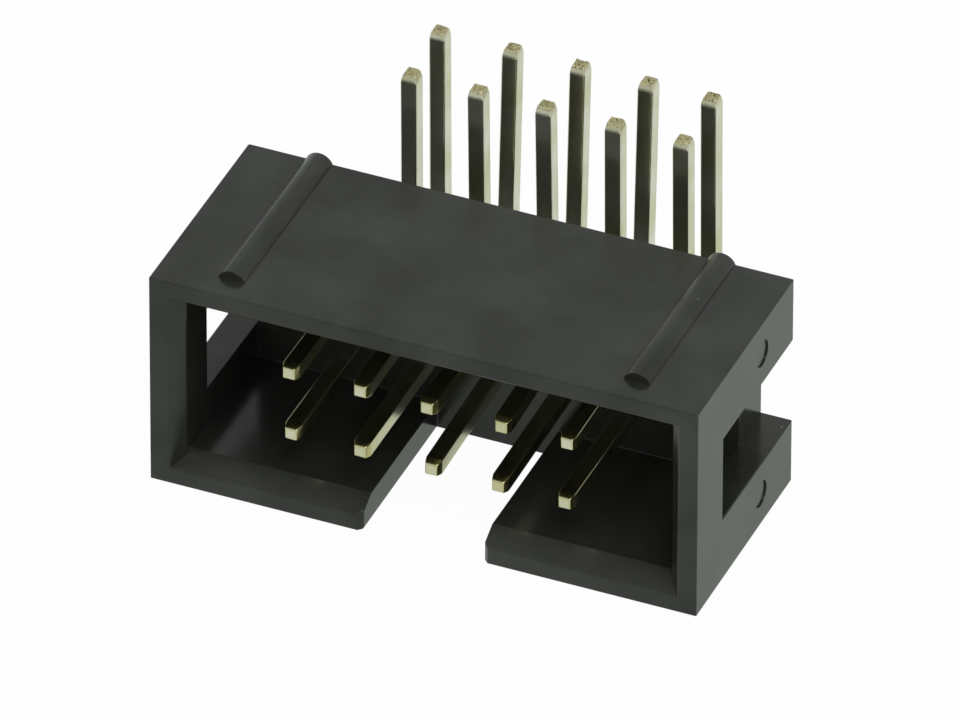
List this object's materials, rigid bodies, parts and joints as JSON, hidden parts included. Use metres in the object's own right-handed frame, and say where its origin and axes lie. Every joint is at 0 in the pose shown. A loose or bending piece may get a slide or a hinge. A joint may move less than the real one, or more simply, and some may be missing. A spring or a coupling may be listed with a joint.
{
  "type": "idc box header",
  "caption": "Right-angle box header for a flat-cable socket: a keyed moulded housing round two rows of square pins, bent into solder tails.",
  "frame": {"origin": "under the middle of the whole part's box, on the plane that the keyed wall rests on", "axes": "+X along the rows of pins, -Y out of the mating opening, +Z along the solder tails, away from the keyed wall"},
  "size_m": [0.0204, 0.0138, 0.0114],
  "materials": {
    "housing_plastic": "matte, glass-filled polyester, moulded",
    "pin_metal": "drawn square wire with a thin pale gold plating"
  },
  "bodies": {
    "root": {"housing": "housing_plastic", "inner_pin_1": "pin_metal", "inner_pin_2": "pin_metal", "inner_pin_3": "pin_metal", "inner_pin_4": "pin_metal", "inner_pin_5": "pin_metal", "outer_pin_1": "pin_metal", "outer_pin_2": "pin_metal", "outer_pin_3": "pin_metal", "outer_pin_4": "pin_metal", "outer_pin_5": "pin_metal"}
  },
  "joints": []
}
